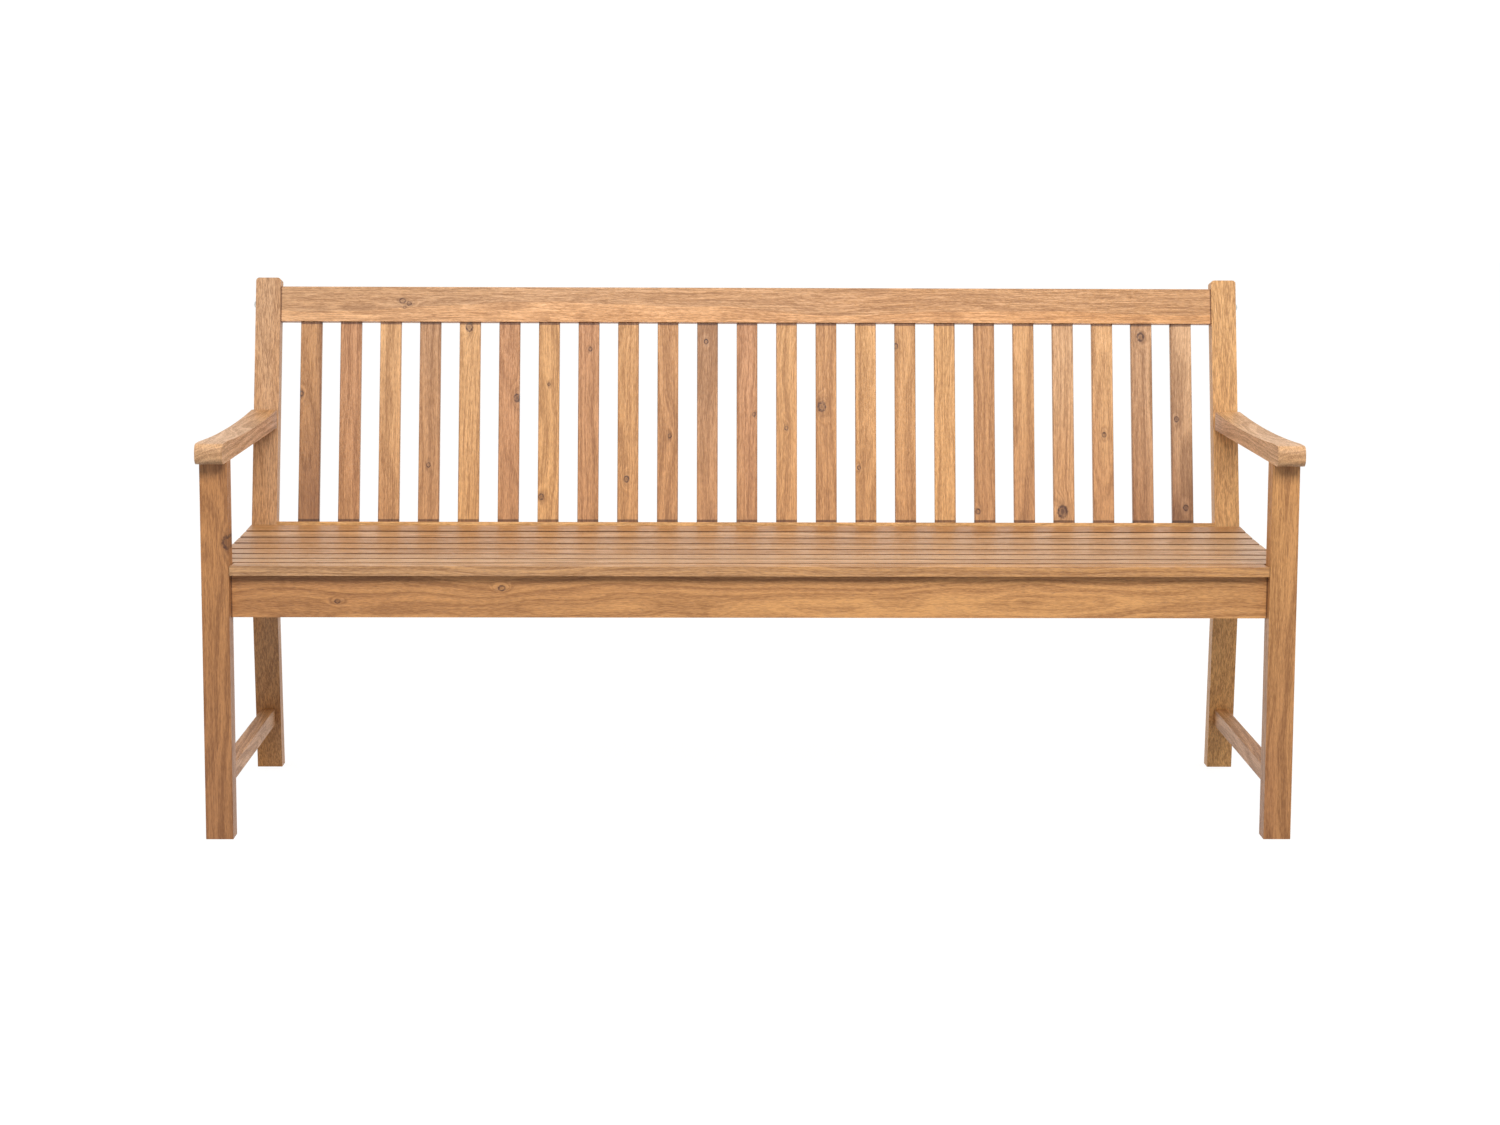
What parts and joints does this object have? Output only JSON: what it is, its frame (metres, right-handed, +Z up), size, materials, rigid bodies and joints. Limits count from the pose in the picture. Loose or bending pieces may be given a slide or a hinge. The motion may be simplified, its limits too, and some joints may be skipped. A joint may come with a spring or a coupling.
{
  "type": "garden bench",
  "caption": "Slatted hardwood garden bench with a leaning slatted back, a dished slatted seat, dished armrests and lower side stretchers.",
  "frame": {"origin": "on the floor under the centre of the bench's box", "axes": "+X to the right as seen from the front, +Y towards the back, +Z up; a sitter faces -Y"},
  "size_m": [1.8102, 0.6462, 0.898],
  "materials": {
    "acacia_frame": "oiled satin, fine grain along each member",
    "acacia_back_slats": "oiled satin, tone varies from slat to slat, small knots",
    "acacia_seat_slats": "oiled satin, paler where light falls on the seat",
    "zinc_steel": "bright zinc plate",
    "beech_dowel": "plain, unfinished"
  },
  "bodies": {
    "root": {"leg_front_left": "acacia_frame", "leg_front_right": "acacia_frame", "post_rear_left": "acacia_frame", "post_rear_right": "acacia_frame", "armrest_left": "acacia_frame", "armrest_right": "acacia_frame", "side_rail_left": "acacia_frame", "side_rail_right": "acacia_frame", "stretcher_left": "acacia_frame", "stretcher_right": "acacia_frame", "apron_front": "acacia_frame", "back_top_rail": "acacia_frame", "back_bottom_rail": "acacia_frame", "seat_bearer_left": "acacia_frame", "seat_bearer_right": "acacia_frame", "seat_batten_left": "acacia_frame", "seat_batten_right": "acacia_frame", "back_slat_01": "acacia_back_slats", "back_slat_02": "acacia_back_slats", "back_slat_03": "acacia_back_slats", "back_slat_04": "acacia_back_slats", "back_slat_05": "acacia_back_slats", "back_slat_06": "acacia_back_slats", "back_slat_07": "acacia_back_slats", "back_slat_08": "acacia_back_slats", "back_slat_09": "acacia_back_slats", "back_slat_10": "acacia_back_slats", "back_slat_11": "acacia_back_slats", "back_slat_12": "acacia_back_slats", "back_slat_13": "acacia_back_slats", "back_slat_14": "acacia_back_slats", "back_slat_15": "acacia_back_slats", "back_slat_16": "acacia_back_slats", "back_slat_17": "acacia_back_slats", "back_slat_18": "acacia_back_slats", "back_slat_19": "acacia_back_slats", "back_slat_20": "acacia_back_slats", "back_slat_21": "acacia_back_slats", "back_slat_22": "acacia_back_slats", "back_slat_23": "acacia_back_slats", "seat_slat_1": "acacia_seat_slats", "seat_slat_2": "acacia_seat_slats", "seat_slat_3": "acacia_seat_slats", "seat_slat_4": "acacia_seat_slats", "seat_slat_5": "acacia_seat_slats", "seat_slat_6": "acacia_seat_slats", "seat_slat_7": "acacia_seat_slats", "seat_slat_8": "acacia_seat_slats", "frame_bolts": "zinc_steel", "bolt_washers": "zinc_steel", "barrel_nuts": "zinc_steel", "seat_screws": "zinc_steel", "batten_screws": "zinc_steel", "armrest_screws": "zinc_steel", "rail_dowels": "beech_dowel"}
  },
  "joints": []
}
